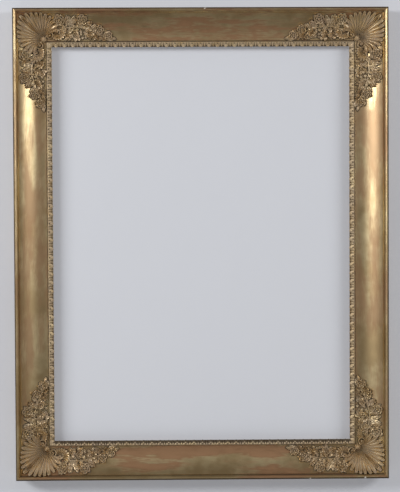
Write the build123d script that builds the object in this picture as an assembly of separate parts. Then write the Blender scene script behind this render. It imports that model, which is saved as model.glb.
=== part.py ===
from build123d import *
import os
from math import cos, hypot, pi, radians, sin, sqrt

# A gilded cove frame for a picture, empty, with a composition palmette and two flower sprays in each
# corner. It hangs upright from one ring. +Z is up, the gilded face looks along -Y, and the wall is the
# plane y = 0. The origin is the top of the nail that carries the ring, taken back to the wall.

# Opening that the picture shows through, and how far the rebate runs behind its edge
sight_width = 866.0
sight_height = 1150.0
rebate_overlap = 13.0

# Widths across a rail, from its outer edge to the sight edge
bead_width = 12.0
quirk_width = 3.5
cove_width = 76.5
groove_width = 2.5
leaf_edge_width = 16.5
lip_set_back = 1.5

# Heights through a rail, from the wall to the top of the bead
chassis_thickness = 24.0
lip_thickness = 5.0
cove_foot = 4.0
cove_rise = 37.0
bead_stand = 8.0
bead_round = 6.0
quirk_depth = 3.0
groove_depth = 2.0

# Leaf-tip edging along the sight edge, its heights taken from the seat that it is pressed on
edging_back_rise = 4.5
edging_crest_rise = 7.5
edging_tip_rise = 2.5
edging_crest_share = 0.3
leaf_tip_pitch = 25.0
leaf_notch_width = 9.0
leaf_notch_length = 6.5

# Pine back frame, with an outer land that meets the wall and an inner shelf for the buttons
chassis_set_back = 3.0
land_width = 40.0
shelf_depth = 6.0

# Bow-tie keys let in across the back of each mitre
key_length = 34.0
key_end = 14.0
key_waist = 7.0
key_depth = 8.0
key_play = 0.1
key_place = 24.0

# Hanging ring, bent to a D, with its straight leg in the eye of a screwed plate
ring_wire = 3.0
ring_bow_radius = 8.5
ring_leg_drop = 8.5
ring_show = 3.5
eye_play = 0.08
eye_wall = 1.4
eye_length = 11.0
eye_depth = 3.5
plate_width = 42.0
plate_drop = 26.0
plate_thickness = 1.6
plate_corner = 4.0
housing_depth = 7.0
housing_play = 0.5

# Screws of the hanging plate, their heads sunk flush, and the flats that stand for every screw's round
plate_screw_spread = 30.0
plate_screw_drop = 13.0
plate_screw_head = 6.4
plate_screw_head_depth = 1.0
plate_screw_shank = 3.0
plate_screw_length = 14.0
screw_play = 0.06
screw_flat_count = 8

# Brass turn buttons that close over the rebate, and their round-headed screws
button_inset = 13.0
button_width = 13.0
button_nose_width = 8.0
button_reach = 33.0
button_thickness = 2.5
button_seat_gap = 0.3
button_shank = 4.0
button_head = 8.4
button_head_rise = 2.1
button_screw_grip = 13.0

# Palmette on the mitre: lobes fan out from a heart. Each lobe has its angle from the mitre line, then
# its length as a share of the palmette's reach and its width as a share of the lobe width.
palmette_inset = 6.0
palmette_reach = 96.0
lobe_width = 21.0
lobe_rise = 7.5
heart_radius = 11.0
heart_rise = 9.0
lobe_shares = (
    (0.0, 0.98, 1.0),
    (20.0, 0.78, 1.1),
    (41.0, 0.72, 1.1),
    (62.0, 0.72, 1.0),
    (84.0, 0.58, 0.8),
)
# Stations along a lobe: shares of its length, width and rise
lobe_station_shares = ((0.1, 0.3, 0.5), (0.8, 1.0, 1.0), (1.0, 0.55, 0.5))
# Sections across a ribbon: side, and share of the rise
channelled_shares = ((-1, 1.0), (0, 0.4), (1, 1.0))
ridged_shares = ((-1, 0.0), (0, 1.0), (1, 0.0))

# Volutes where the fan rolls in beside the sight corner
volute_out = 27.0
volute_set_in = 6.0
volute_radius = 9.5
volute_width = 5.5
volute_rise = 7.0
volute_turns = 0.9
volute_steps = 8
volute_eye_share = 0.3

# Flower spray, reaching along a rail from the palmette. A place is two shares: of the cove's width in
# from its outer arris, and of the spray's length away from the sight corner. A rose adds its size, a
# leaf its tip's place and its width, a stalk its rose's place, and a scroll its width.
spray_length = 190.0
root_depth = 3.0
rose_radius = 16.0
rose_rise = 10.0
rose_petals = 5
rose_shares = ((0.27, 0.16, 1.0), (0.28, 0.47, 0.9), (0.62, 0.72, 0.85), (0.78, 0.86, 0.8))
rose_ring_shares = ((0.0, 0.0, 0.7), (0.6, 0.5, 1.0), (1.0, 0.82, 0.0))
leaf_width = 15.0
leaf_rise = 5.5
leaf_shares = (
    (0.3, 0.16, 0.02, 0.14, 0.9),
    (0.53, 0.29, 0.1, 0.35, 1.0),
    (0.54, 0.27, 0.96, 0.31, 1.3),
    (0.48, 0.42, 0.95, 0.46, 1.4),
    (0.55, 0.6, 0.22, 0.66, 1.2),
    (0.51, 0.55, 0.93, 0.59, 1.2),
    (0.78, 0.86, 0.94, 1.0, 1.2),
)
leaf_station_shares = ((0.0, 0.35, 0.8), (0.45, 1.0, 1.0), (1.0, 0.0, 0.0))
stem_width = 7.0
stem_rise = 4.5
stem_shares = ((0.66, 0.07), (0.54, 0.24), (0.47, 0.47), (0.62, 0.72), (0.78, 0.86))
stalk_shares = ((0.54, 0.24, 0.27, 0.16), (0.47, 0.47, 0.28, 0.47))
scroll_width = 13.0
scroll_rise = 7.0
scroll_shares = (
    (0.66, 0.07, 0.7),
    (0.86, 0.07, 0.9),
    (0.93, 0.14, 1.0),
    (0.84, 0.21, 0.9),
    (0.73, 0.18, 0.6),
)

# Seat of the castings, worked in flat strips that touch the cove at their arrises
seat_strip_count = 3
glue_line = 0.05

# One overrun for every cut, and the size under which a face has shrunk to nothing
overrun = 20.0
vanished = 1e-6

# Sizes that follow from the ones above
cove_start = bead_width + quirk_width
cove_end = cove_start + cove_width
edging_start = cove_end + groove_width
rail_width = edging_start + leaf_edge_width
seat_height = chassis_thickness + lip_thickness
cove_floor = seat_height + cove_foot
cove_top = cove_floor + cove_rise
palmette_place = cove_end - palmette_inset
cove_radius = (cove_width**2 + cove_rise**2) / (2 * cove_rise)
bead_top = cove_top + bead_stand
outer_width = sight_width + 2 * rail_width
outer_height = sight_height + 2 * rail_width
top_edge = ring_wire - ring_show
frame_centre = top_edge - outer_height / 2
rebate_edge = rail_width - rebate_overlap
ring_axis = ring_wire / 2 - ring_bow_radius - ring_leg_drop
corner_reach = rail_width + spray_length + overrun

# Each side's outer length, its reach from the middle and its sight edge, a quarter turn apart
sides = {
    "top": (outer_width, outer_height / 2, sight_width),
    "right": (outer_height, outer_width / 2, sight_height),
    "bottom": (outer_width, outer_height / 2, sight_width),
    "left": (outer_height, outer_width / 2, sight_height),
}
# Each corner's direction from the middle, across and up
corners = {
    "top_left": (-1, 1),
    "top_right": (1, 1),
    "bottom_left": (-1, -1),
    "bottom_right": (1, -1),
}


# Rails. Each is made lying along X with its outer edge at z = 0 and its sight edge below, its back at
# y = 0 and its face to -Y.

def section_point(across, height):
    """Point of a rail's section, for a sketch on the YZ plane."""
    return (-height, -across)


def cove_height(across):
    """Height of the cove above the wall, at a distance in from the outer edge."""
    inset = cove_end - min(max(across, cove_start), cove_end)
    return cove_floor + cove_radius - sqrt(cove_radius**2 - inset**2)


def moulding_section():
    """Bead, quirk, cove, groove and the seat and lip that carry the leaf-tip edging."""
    cove_middle = cove_start + cove_width / 2
    lip_edge = rail_width - lip_set_back
    bead_spring = bead_top - bead_round
    quirk_floor = cove_top - quirk_depth
    groove_floor = cove_floor - groove_depth
    foot_left = section_point(0, chassis_thickness)
    foot_right = section_point(lip_edge, chassis_thickness)
    bead = ThreePointArc(
        section_point(0, bead_spring),
        section_point(bead_width / 2, bead_top),
        section_point(bead_width, bead_spring),
    )
    quirk = Polyline(
        bead @ 1,
        section_point(bead_width, quirk_floor),
        section_point(cove_start, quirk_floor),
        section_point(cove_start, cove_top),
    )
    cove = ThreePointArc(
        quirk @ 1,
        section_point(cove_middle, cove_height(cove_middle)),
        section_point(cove_end, cove_floor),
    )
    lip = Polyline(
        cove @ 1,
        section_point(cove_end, groove_floor),
        section_point(edging_start, groove_floor),
        section_point(edging_start, seat_height),
        section_point(lip_edge, seat_height),
        foot_right,
        foot_left,
        bead @ 0,
    )
    return make_face([bead, quirk, cove, lip])


def chassis_section():
    """Pine board with an outer land at the wall and a shelf set in from it."""
    land_edge = chassis_set_back + land_width
    outline = Polyline(
        section_point(chassis_set_back, 0),
        section_point(land_edge, 0),
        section_point(land_edge, shelf_depth),
        section_point(rebate_edge, shelf_depth),
        section_point(rebate_edge, chassis_thickness),
        section_point(chassis_set_back, chassis_thickness),
        close=True,
    )
    return make_face(outline)


def edging_section():
    """Section of the edging: a square back, a crest, and a fall to the leaf tips."""
    crest = edging_start + leaf_edge_width * edging_crest_share
    outline = Polyline(
        section_point(edging_start, seat_height),
        section_point(edging_start, seat_height + edging_back_rise),
        section_point(crest, seat_height + edging_crest_rise),
        section_point(rail_width, seat_height + edging_tip_rise),
        section_point(rail_width, seat_height),
        close=True,
    )
    return make_face(outline)


def mitred(section, length):
    """Rail of one section, both ends cut at 45 degrees."""
    bar = extrude(Plane.YZ * section, amount=length / 2, both=True)
    wide = length / 2 + overrun
    narrow = length / 2 - rail_width - overrun
    outline = Polyline(
        (-wide, overrun),
        (wide, overrun),
        (narrow, -rail_width - overrun),
        (-narrow, -rail_width - overrun),
        close=True,
    )
    return bar & extrude(Plane.XZ * make_face(outline), amount=bead_top + overrun, both=True)


def on_side(side):
    """Place of a rail on one side of the frame."""
    _, reach, _ = sides[side]
    quarters = list(sides).index(side)
    return Pos(0, 0, frame_centre) * Rot(0, 90 * quarters, 0) * Pos(0, 0, reach)


def in_corner(piece, corner):
    """A piece made for the top right corner, mirrored into any corner."""
    side_x, side_z = corners[corner]
    if side_x < 0:
        piece = mirror(piece, Plane.YZ)
    if side_z < 0:
        piece = mirror(piece, Plane.XY)
    return Pos(side_x * outer_width / 2, 0, frame_centre + side_z * outer_height / 2) * piece


def edging(side):
    """Edging of one side, its sight edge cut to leaf tips."""
    length, _, sight = sides[side]
    count = round(sight / leaf_tip_pitch)
    pitch = sight / count
    half = leaf_notch_width / 2
    outline = Polyline(
        (-half, -rail_width), (0, leaf_notch_length - rail_width), (half, -rail_width), close=True
    )
    notch = extrude(Plane.XZ * make_face(outline), amount=bead_top)
    notches = [Pos((i + 1 / 2 - count / 2) * pitch, 0, 0) * notch for i in range(count)]
    return mitred(edging_section(), length) - notches


# Castings. A point over the corner is given by its distances in from the outer edge of the upright
# rail and of the level rail, and its rise above the cove; the outer corner itself is the origin.

def over_cove(across, along, rise):
    """Point above the mitred cove."""
    return Vector(-across, -cove_height(min(across, along)) - rise, -along)


def patch(first, second, third, fourth):
    """Two flat faces over four corners, without any that has shrunk to a line."""
    faces = []
    for trio in ((first, second, third), (first, third, fourth)):
        if (trio[1] - trio[0]).cross(trio[2] - trio[0]).length > vanished:
            faces.append(Face(Wire.make_polygon(trio, close=True)))
    return faces


def walls(tops, roots):
    """Upright faces between one border of the tops and the same border of the roots."""
    faces = []
    for i in range(len(tops) - 1):
        if (tops[i + 1] - tops[i]).length > vanished:
            border = (tops[i], tops[i + 1], roots[i + 1], roots[i])
            faces.append(Face(Wire.make_polygon(border, close=True)))
    return faces


def draped(rows, closed=False):
    """Solid between a grid of rises above the cove and the same grid sunk into it."""
    tops = [[over_cove(*spot) for spot in row] for row in rows]
    roots = [[over_cove(across, along, -root_depth) for across, along, rise in row] for row in rows]
    faces = []
    for grid in (tops, roots):
        for upper, lower in zip(grid, grid[1:]):
            for i in range(len(upper) - 1):
                faces += patch(upper[i], upper[i + 1], lower[i + 1], lower[i])
    faces += walls(tops[-1], roots[-1])
    if not closed:
        faces += walls(tops[0], roots[0])
        faces += walls([row[0] for row in tops], [row[0] for row in roots])
        faces += walls([row[-1] for row in tops], [row[-1] for row in roots])
    return Solid(Shell(faces))


def strip(stations, section_shares):
    """Ribbon through stations of place, half width and rise, with one section all along."""
    rows = []
    for i, (across, along, half, rise) in enumerate(stations):
        before = stations[max(i - 1, 0)]
        after = stations[min(i + 1, len(stations) - 1)]
        run_across = after[0] - before[0]
        run_along = after[1] - before[1]
        run = hypot(run_across, run_along)
        row = []
        for side, share in section_shares:
            reach = side * half / run
            row.append((across - run_along * reach, along + run_across * reach, rise * share))
        rows.append(row)
    return draped(rows)


def lobe(angle, reach, width):
    """Channelled lobe of the palmette, widening to a raised, rounded end."""
    turn = radians(angle) + pi / 4
    stations = []
    for far, wide, high in lobe_station_shares:
        away = reach * far
        place = (palmette_place - away * cos(turn), palmette_place - away * sin(turn))
        stations.append((*place, width * wide / 2, lobe_rise * high))
    return strip(stations, channelled_shares)


def bloom(across, along, radius, rise):
    """Open rose: petals round a domed eye."""
    rings = []
    for crest_share, dip_share, rise_share in rose_ring_shares:
        ring = []
        for step in range(2 * rose_petals + 1):
            turn = pi * step / rose_petals
            reach = radius * (dip_share if step % 2 else crest_share)
            ring.append((across + reach * cos(turn), along + reach * sin(turn), rise * rise_share))
        rings.append(ring)
    return draped(rings, closed=True)


def volute(side):
    """Roll beside the heart, on one side of the mitre line."""
    slant = side * volute_out / sqrt(2)
    middle = (palmette_place + volute_set_in - slant, palmette_place + volute_set_in + slant)
    stations = []
    for step in range(volute_steps + 1):
        share = step / volute_steps
        turn = pi / 4 + side * (pi / 2 + 2 * pi * volute_turns * share)
        reach = volute_radius * (1 - (1 - volute_eye_share) * share)
        place = (middle[0] - reach * cos(turn), middle[1] - reach * sin(turn))
        stations.append((*place, volute_width / 2, volute_rise))
    return strip(stations, ridged_shares)


def seated(pieces):
    """Pieces joined to one casting and cut to its seat on the two rails of the corner."""
    seat = [(cove_start, 2 * bead_top), (0, 2 * bead_top), (0, -overrun), (corner_reach, -overrun)]
    seat.append((corner_reach, cove_floor + glue_line))
    for i in range(seat_strip_count + 1):
        across = cove_end - cove_width * i / seat_strip_count
        seat.append((across, cove_height(across) + glue_line))
    upright = make_face(Polyline([(-across, -height) for across, height in seat], close=True))
    level = make_face(Polyline([section_point(*spot) for spot in seat], close=True))
    inside = Pos(-corner_reach, 0, -corner_reach) * Box(
        2 * (corner_reach - cove_end), 4 * bead_top, 2 * (corner_reach - cove_end)
    )
    casting = pieces[0].fuse(*pieces[1:])
    casting -= extrude(Plane.XY * upright, amount=corner_reach, both=True)
    casting -= extrude(Plane.YZ * level, amount=corner_reach, both=True)
    return casting - inside


def palmette():
    """Fan of lobes on the mitre, with its heart and two volutes."""
    pieces = [bloom(palmette_place, palmette_place, heart_radius, heart_rise)]
    for angle, reach_share, width_share in lobe_shares:
        for turn in sorted({angle, -angle}):
            pieces.append(lobe(turn, palmette_reach * reach_share, lobe_width * width_share))
    pieces += [volute(1), volute(-1)]
    return seated(pieces)


def spray_place(across_share, along_share):
    """Place on the upright rail, from a spray's two shares."""
    return (cove_start + cove_width * across_share, rail_width + spray_length * along_share)


def leaf(start, end, width):
    """Pointed leaf, ridged along its midrib."""
    stations = []
    for far, wide, high in leaf_station_shares:
        place = [start[i] + (end[i] - start[i]) * far for i in range(2)]
        stations.append((*place, width * wide / 2, leaf_rise * high))
    return strip(stations, ridged_shares)


def spray():
    """Scroll, stem, leaves and roses along the upright rail."""
    pieces = []
    stations = [(*spray_place(*spot), stem_width / 2, stem_rise) for spot in stem_shares]
    pieces.append(strip(stations, ridged_shares))
    for across, along, far_across, far_along in stalk_shares:
        ends = (spray_place(across, along), spray_place(far_across, far_along))
        pieces.append(strip([(*end, stem_width / 2, stem_rise) for end in ends], ridged_shares))
    stations = []
    for across, along, wide in scroll_shares:
        stations.append((*spray_place(across, along), scroll_width * wide / 2, scroll_rise))
    pieces.append(strip(stations, ridged_shares))
    for across, along, far_across, far_along, wide in leaf_shares:
        start = spray_place(across, along)
        pieces.append(leaf(start, spray_place(far_across, far_along), leaf_width * wide))
    for across, along, size in rose_shares:
        pieces.append(bloom(*spray_place(across, along), rose_radius * size, rose_rise * size))
    return seated(pieces)


# Back of the frame

def bow_tie(play):
    """Key or its pocket, lying across the mitre of the top right corner."""
    half = key_length / 2 + play
    end = key_end / 2 + play
    waist = key_waist / 2 + play
    outline = Polyline(
        (-half, -end), (0, -waist), (half, -end), (half, end), (0, waist), (-half, end), close=True
    )
    key = extrude(Plane.XZ * make_face(outline), amount=key_depth)
    return Pos(-key_place, 0, -key_place) * Rot(0, 45, 0) * key


def plate_outline(play):
    """Outline of the hanging plate, or of its housing, below the ring's axis."""
    wide = plate_width / 2 + play
    return Pos(0, ring_axis - plate_drop / 2) * Rectangle(2 * wide, plate_drop + 2 * play)


def hanger_housing():
    """Space cut in the chassis for plate and ring, open at the top."""
    rise = top_edge + overrun - ring_axis
    wide = plate_width + 2 * housing_play
    slot = Pos(0, ring_axis + rise / 2) * Rectangle(wide, rise)
    return extrude(Plane.XZ * (slot + plate_outline(housing_play)), amount=housing_depth)


def prism(flats_across, top, bottom):
    """Upright on its flats, from one height to another along Y."""
    outline = Plane.XZ * RegularPolygon(flats_across / 2, screw_flat_count)
    return Pos(0, top, 0) * extrude(outline, amount=top - bottom)


def plate_screw(play):
    """Screw with its head flush in the plate, or with play its hole."""
    face = plate_thickness - housing_depth
    head = prism(plate_screw_head + 2 * play, face, face - plate_screw_head_depth)
    return head + prism(plate_screw_shank + 2 * play, face, face - plate_screw_length - play)


def plate_screws(play):
    """Screws of the hanging plate, or their holes."""
    screw = plate_screw(play)
    return [Pos(side * plate_screw_spread / 2, 0, ring_axis - plate_screw_drop) * screw for side in (-1, 1)]


def hanger_plate():
    """Flat plate rolled at its top into an eye for the ring."""
    blank = plate_outline(0)
    blank = chamfer(blank.vertices().group_by(Axis.Y)[0], plate_corner)
    plate = Pos(0, plate_thickness - housing_depth, 0) * extrude(Plane.XZ * blank, amount=plate_thickness)
    bore = ring_wire / 2 + eye_play
    across = Rot(0, 90, 0)
    centre = Pos(0, -eye_depth, ring_axis)
    eye = centre * across * Cylinder(bore + eye_wall, eye_length)
    plate = plate + eye - centre * across * Cylinder(bore, plate_width)
    return plate - plate_screws(screw_play)


def hanger_ring():
    """Iron D, flat-sided above the round leg that turns in the eye."""
    wire = ring_wire / 2
    bow = Pos(0, ring_axis + ring_leg_drop) * Circle(ring_bow_radius)
    foot = Pos(0, ring_axis + ring_leg_drop / 2) * Rectangle(2 * ring_bow_radius, ring_leg_drop)
    middle = bow + foot
    link = offset(middle, amount=wire) - offset(middle, amount=-wire)
    link = Plane.XZ * link
    link = extrude(link, amount=wire, both=True)
    between = Pos(0, 0, ring_axis) * Box(2 * ring_bow_radius - ring_wire, 2 * ring_wire, 2 * ring_wire)
    below = Pos(0, 0, ring_axis - ring_wire) * Box(4 * ring_bow_radius, 2 * ring_wire, 2 * ring_wire)
    leg = Pos(0, 0, ring_axis) * Rot(0, 90, 0) * Cylinder(wire, 2 * ring_bow_radius + ring_wire)
    return Pos(0, -eye_depth, 0) * (link - between - below + leg)


def button_screw():
    """Screw that a button turns on, its head over the button and its shank in the shelf."""
    under = button_seat_gap + button_thickness + screw_play - shelf_depth
    head = prism(button_head, under + button_head_rise, under)
    return head + prism(button_shank, under, -shelf_depth - button_screw_grip)


def button():
    """Flat brass button, round at its pivot and narrowed to a blunt nose, lying along the rail."""
    round_end = button_width / 2
    nose = button_nose_width / 2
    blade = make_face(
        Polyline((0, -round_end), (button_reach, -nose), (button_reach, nose), (0, round_end), close=True)
    )
    blank = blade + Circle(round_end) - Circle(button_shank / 2 + screw_play)
    seat = button_seat_gap - shelf_depth
    return Pos(0, seat + button_thickness, 0) * extrude(Plane.XZ * blank, amount=button_thickness)


def main():
    parts = {}
    key_pockets = [in_corner(bow_tie(key_play), corner) for corner in corners]
    pivot = Pos(0, 0, button_inset - rebate_edge)
    pilot = Rot(90, 0, 0) * Cylinder(button_shank / 2 + screw_play, 2 * (shelf_depth + button_screw_grip))
    button_screws = []
    for side, (length, _, _) in sides.items():
        place = on_side(side)
        parts[f"moulding_{side}"] = place * mitred(moulding_section(), length)
        parts[f"leaf_edging_{side}"] = place * edging(side)
        board = place * (mitred(chassis_section(), length) - pivot * pilot) - key_pockets
        if side == "top":
            board -= [hanger_housing(), *plate_screws(screw_play)]
        parts[f"chassis_{side}"] = board
        parts[f"turn_button_{side}"] = place * pivot * button()
        button_screws.append(place * pivot * button_screw())

    fan = palmette()
    upright = spray()
    level = mirror(upright, Plane(origin=(0, 0, 0), z_dir=(1, 0, -1)))
    for corner in corners:
        parts[f"palmette_{corner}"] = in_corner(fan, corner)
        parts[f"spray_{corner}_upright"] = in_corner(upright - fan, corner)
        parts[f"spray_{corner}_level"] = in_corner(level - fan, corner)
        parts[f"corner_key_{corner}"] = in_corner(bow_tie(0), corner)

    parts["hanger_plate"] = hanger_plate()
    parts["hanger_ring"] = hanger_ring()
    parts["hanger_screws"] = Compound(plate_screws(0))
    parts["button_screws"] = Compound(button_screws)

    os.makedirs("parts", exist_ok=True)
    for name, piece in parts.items():
        export_step(piece, f"parts/{name}.step")


main()
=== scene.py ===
"""Gilded cove frame with a palmette and two flower sprays in each corner, hung empty on a wall.

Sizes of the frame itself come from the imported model. Lengths in this file are in millimetres until a
mesh is made, unless a comment or a property's unit says otherwise.
"""

import math
import random

import bmesh
import bpy
import numpy as np
from mathutils import Matrix, Vector


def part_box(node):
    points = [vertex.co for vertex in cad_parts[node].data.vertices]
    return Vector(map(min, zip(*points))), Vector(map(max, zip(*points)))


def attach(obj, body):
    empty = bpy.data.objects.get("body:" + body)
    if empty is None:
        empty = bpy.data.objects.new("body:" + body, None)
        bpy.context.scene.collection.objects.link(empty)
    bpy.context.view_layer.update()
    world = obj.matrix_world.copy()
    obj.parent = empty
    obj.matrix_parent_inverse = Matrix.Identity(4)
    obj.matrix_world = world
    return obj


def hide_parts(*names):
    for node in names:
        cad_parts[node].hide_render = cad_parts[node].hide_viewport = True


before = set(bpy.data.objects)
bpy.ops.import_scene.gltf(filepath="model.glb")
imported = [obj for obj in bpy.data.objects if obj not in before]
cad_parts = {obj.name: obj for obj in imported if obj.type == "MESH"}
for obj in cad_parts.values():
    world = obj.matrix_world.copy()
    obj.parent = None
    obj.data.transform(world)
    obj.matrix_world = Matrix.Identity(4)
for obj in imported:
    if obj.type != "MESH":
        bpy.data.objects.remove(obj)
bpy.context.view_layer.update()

bl_info = {
    "name": "Gilded Cove Frame",
    "version": (1, 0, 0),
    "blender": (4, 5, 0),
    "location": "3D View > Sidebar > Frame",
    "description": "Mouldings, castings, hanger and studio of a gilded cove frame",
    "category": "Object",
}

MM = 0.001

# Outer size and middle of the frame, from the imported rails
HALF_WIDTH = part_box("moulding_right")[1].x / MM
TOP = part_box("moulding_top")[1].z / MM
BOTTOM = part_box("moulding_bottom")[0].z / MM
HALF_HEIGHT = (TOP - BOTTOM) / 2
MIDDLE = (TOP + BOTTOM) / 2

# Section of a rail: distances in from the outer edge, and heights from the wall
BEAD_END = 12.0
COVE_START = 15.5
COVE_END = 92.0
EDGING_START = 94.5
LIP_EDGE = 109.5
RAIL = 111.0
CHASSIS_TOP = 24.0
SEAT = 29.0
GROOVE_FLOOR = 31.6
COVE_FLOOR = 33.0
QUIRK_FLOOR = 68.0
COVE_TOP = 70.0
BEAD_SPRING = 72.0
BEAD_TOP = 78.0
COVE_FALL = COVE_TOP - COVE_FLOOR
COVE_RADIUS = ((COVE_END - COVE_START) ** 2 + COVE_FALL**2) / (2 * COVE_FALL)

# Worn bead: distance in, drop from its top and how well rubbed it is; little rubbing paints it dark, so its
# outer side carries painted shade
BEAD = (
    (0.1, 8.6, 0.0), (0.6, 6.4, 0.0), (1.5, 4.3, 0.0), (2.6, 2.6, 0.0), (3.6, 1.4, 0.05),
    (4.5, 0.6, 0.2), (5.3, 0.15, 0.35), (6.2, 0.0, 0.5), (7.2, 0.2, 0.85), (8.2, 0.75, 0.95),
    (9.2, 1.6, 0.85), (10.2, 2.75, 0.7), (11.1, 4.1, 0.6), (11.7, 5.4, 0.5), (12.0, 6.6, 0.4),
)

SIDES = ("top", "right", "bottom", "left")
LEVEL_SIDES = ("top", "bottom")
OUTWARD = {"top": 1, "right": 1, "bottom": -1, "left": -1}
CORNERS = {
    "top_left": (-1, 1), "top_right": (1, 1), "bottom_left": (-1, -1), "bottom_right": (1, -1)
}


# ---- Mesh making

def smooth(value):
    """Rise from 0 to 1 with level ends."""
    value = np.clip(value, 0.0, 1.0)
    return value * value * (3 - 2 * value)


def bump(value, width):
    """Rounded ridge round zero."""
    return np.exp(-((value / width) ** 2))


def dome(value):
    """Quarter round: 1 at zero, falling to 0 at 1."""
    return np.sqrt(np.clip(1 - value**2, 0, 1))


def cove_height(reach):
    """Height of the cove above the wall at a distance in from the outer edge."""
    inset = COVE_END - np.clip(reach, COVE_START, COVE_END)
    return COVE_FLOOR + COVE_RADIUS - np.sqrt(COVE_RADIUS**2 - inset**2)


def smooth_path(points, count):
    """Evenly spaced points on a smooth line through the given ones."""
    points = np.array(points, float)
    ends = np.vstack((2 * points[0] - points[1], points, 2 * points[-1] - points[-2]))
    step = np.linspace(0, 1, 16, endpoint=False)[:, None]
    spans = []
    for before, start, end, after in zip(ends, ends[1:], ends[2:], ends[3:]):
        sag = 2 * before - 5 * start + 4 * end - after
        twist = 3 * start - before - 3 * end + after
        spans.append(0.5 * (2 * start + (end - before) * step + sag * step**2 + twist * step**3))
    line = np.concatenate((*spans, points[-1:]))
    run = np.concatenate(([0], np.cumsum(np.linalg.norm(np.diff(line, axis=0), axis=1))))
    even = np.linspace(0, run[-1], count)
    return np.stack([np.interp(even, run, column) for column in line.T], axis=-1)


class Shell:
    """Closed skins gathered for one piece, with how far each point stands out of its surroundings, which
    the gilding paints dark as dirt and painted shade where it is low.
    """

    def __init__(self):
        self.points = []
        self.lift = []
        self.faces = []
        self.count = 0

    def add(self, points, lift):
        """Adds points of shape (rows, columns, 3) and returns their numbers."""
        rows, columns = points.shape[:2]
        numbers = self.count + np.arange(rows * columns).reshape(rows, columns)
        self.points.append(points.reshape(-1, 3))
        self.lift.append(np.broadcast_to(lift, (rows, columns)).reshape(-1))
        self.count += rows * columns
        return numbers

    def quads(self, numbers):
        """Faces of a grid of point numbers."""
        corners = (numbers[:-1, :-1], numbers[1:, :-1], numbers[1:, 1:], numbers[:-1, 1:])
        self.faces += np.stack(corners, axis=-1).reshape(-1, 4).tolist()

    def tube(self, points, lift):
        """Closed skin whose rows go round it, with a flat face at each end."""
        numbers = self.add(points, lift)
        self.quads(np.concatenate((numbers, numbers[:, :1]), axis=1))
        self.faces += [numbers[0].tolist(), numbers[-1][::-1].tolist()]

    def cover(self, top, foot, lift, ring=False):
        """Closed skin between a top and a foot. A ring's columns go all the way round its middle."""
        if ring:
            top, foot, lift = (np.concatenate((grid, grid[:, :1]), axis=1) for grid in (top, foot, lift))
        upper = self.add(top, lift)
        lower = self.add(foot, np.zeros(foot.shape[:2]))
        self.quads(upper)
        self.quads(lower[:, ::-1])
        self.quads(np.stack((upper[-1], lower[-1])))
        if not ring:
            self.quads(np.stack((lower[0], upper[0])))
            self.quads(np.stack((upper[:, 0], lower[:, 0])))
            self.quads(np.stack((lower[:, -1], upper[:, -1])))

    def piece(self, name, sharp=50.0):
        """Mesh object of the skins, its doubled points joined and its arrises kept sharp."""
        mesh = bpy.data.meshes.new(name)
        points = np.concatenate(self.points) * MM
        mesh.from_pydata(points.tolist(), [], self.faces)
        # The relief share sets where the gilding paints dirt and painted shade, and where it is rubbed
        relief = mesh.attributes.new("relief", "FLOAT", "POINT")
        relief.data.foreach_set("value", np.concatenate(self.lift).astype(np.float32))
        shaped = bmesh.new()
        shaped.from_mesh(mesh)
        bmesh.ops.remove_doubles(shaped, verts=shaped.verts, dist=2e-6)
        bmesh.ops.recalc_face_normals(shaped, faces=shaped.faces)
        limit = math.radians(sharp)
        for edge in shaped.edges:
            edge.smooth = edge.calc_face_angle(0.0) < limit
        for face in shaped.faces:
            face.smooth = True
        shaped.to_mesh(mesh)
        shaped.free()
        made = bpy.data.objects.new(name, mesh)
        bpy.context.scene.collection.objects.link(made)
        return made


# ---- Shader making

class Tone:
    """A number that varies over a surface. A sum on tones adds its Math nodes."""

    def __init__(self, finish, socket):
        self.finish = finish
        self.socket = socket

    def join(self, operation, first, second):
        """Tone that a Math node makes of two values."""
        made = self.finish.node("ShaderNodeMath", {"operation": operation}, {0: first, 1: second})
        return Tone(self.finish, made.outputs[0])

    def __add__(self, other):
        return self.join("ADD", self, other)

    def __radd__(self, other):
        return self.join("ADD", other, self)

    def __sub__(self, other):
        return self.join("SUBTRACT", self, other)

    def __rsub__(self, other):
        return self.join("SUBTRACT", other, self)

    def __mul__(self, other):
        return self.join("MULTIPLY", self, other)

    def __rmul__(self, other):
        return self.join("MULTIPLY", other, self)

    def sine(self):
        """Its sine, which turns a steady rise to even bands."""
        return self.join("SINE", self, 0.0)


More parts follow.
